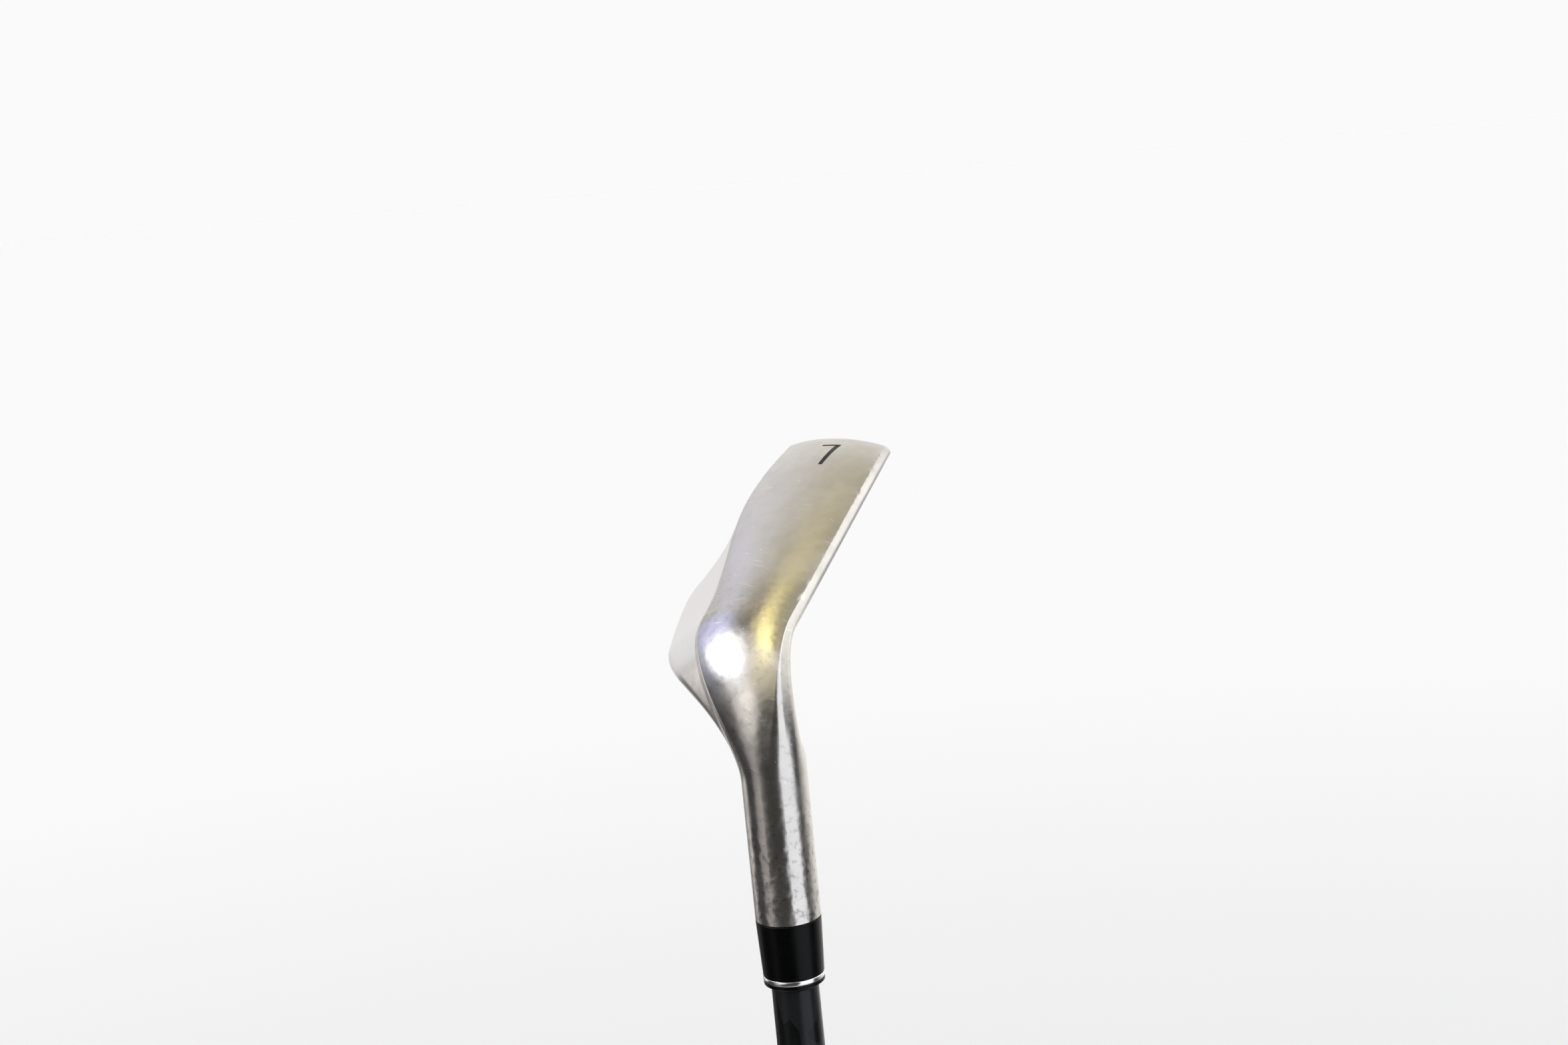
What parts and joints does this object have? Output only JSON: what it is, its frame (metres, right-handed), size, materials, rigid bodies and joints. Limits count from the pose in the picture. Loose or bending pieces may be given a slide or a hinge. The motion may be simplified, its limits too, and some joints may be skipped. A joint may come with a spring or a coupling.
{
  "type": "iron golf club",
  "caption": "Right-handed cavity-back iron golf club with a wide steel sole, round hosel, ringed black ferrule, black composite shaft and rubber grip.",
  "frame": {"origin": "centre of the butt face of the grip, on the shaft axis", "axes": "+Z along the shaft axis from the grip to the head, +X from the shaft towards the toe of the head, +Y from the face towards the back of the head"},
  "size_m": [0.1042, 0.0504, 0.9664],
  "materials": {
    "cast_steel": "satin brushed sole and face, polished hosel, light scratches",
    "black_paint": "satin paint",
    "adhesive": "cured adhesive",
    "damping_rubber": "matte rubber",
    "badge_metal": "satin brushed",
    "accent": "gloss",
    "brass": "turned",
    "composite": "clear-coated black composite",
    "band_print": "gloss printed foil",
    "ferrule_plastic": "polished gloss",
    "trim_metal": "bright",
    "tape": "paper tape",
    "grip_rubber": "moulded matte rubber with a fine tread"
  },
  "bodies": {
    "root": {"head_body": "cast_steel", "sole_number_infill": "black_paint", "badge_adhesive_film": "adhesive", "badge_damping_pad": "damping_rubber", "badge_plate": "badge_metal", "badge_accent_strip": "accent", "hosel_epoxy_sleeve": "adhesive", "tip_weight_plug": "brass", "shaft_tube": "composite", "shaft_band": "band_print", "ferrule_barrel": "ferrule_plastic", "ferrule_trim_ring": "trim_metal", "ferrule_end_collar": "ferrule_plastic", "grip_tape": "tape", "grip_sleeve": "grip_rubber", "grip_end_cap": "grip_rubber"}
  },
  "joints": []
}
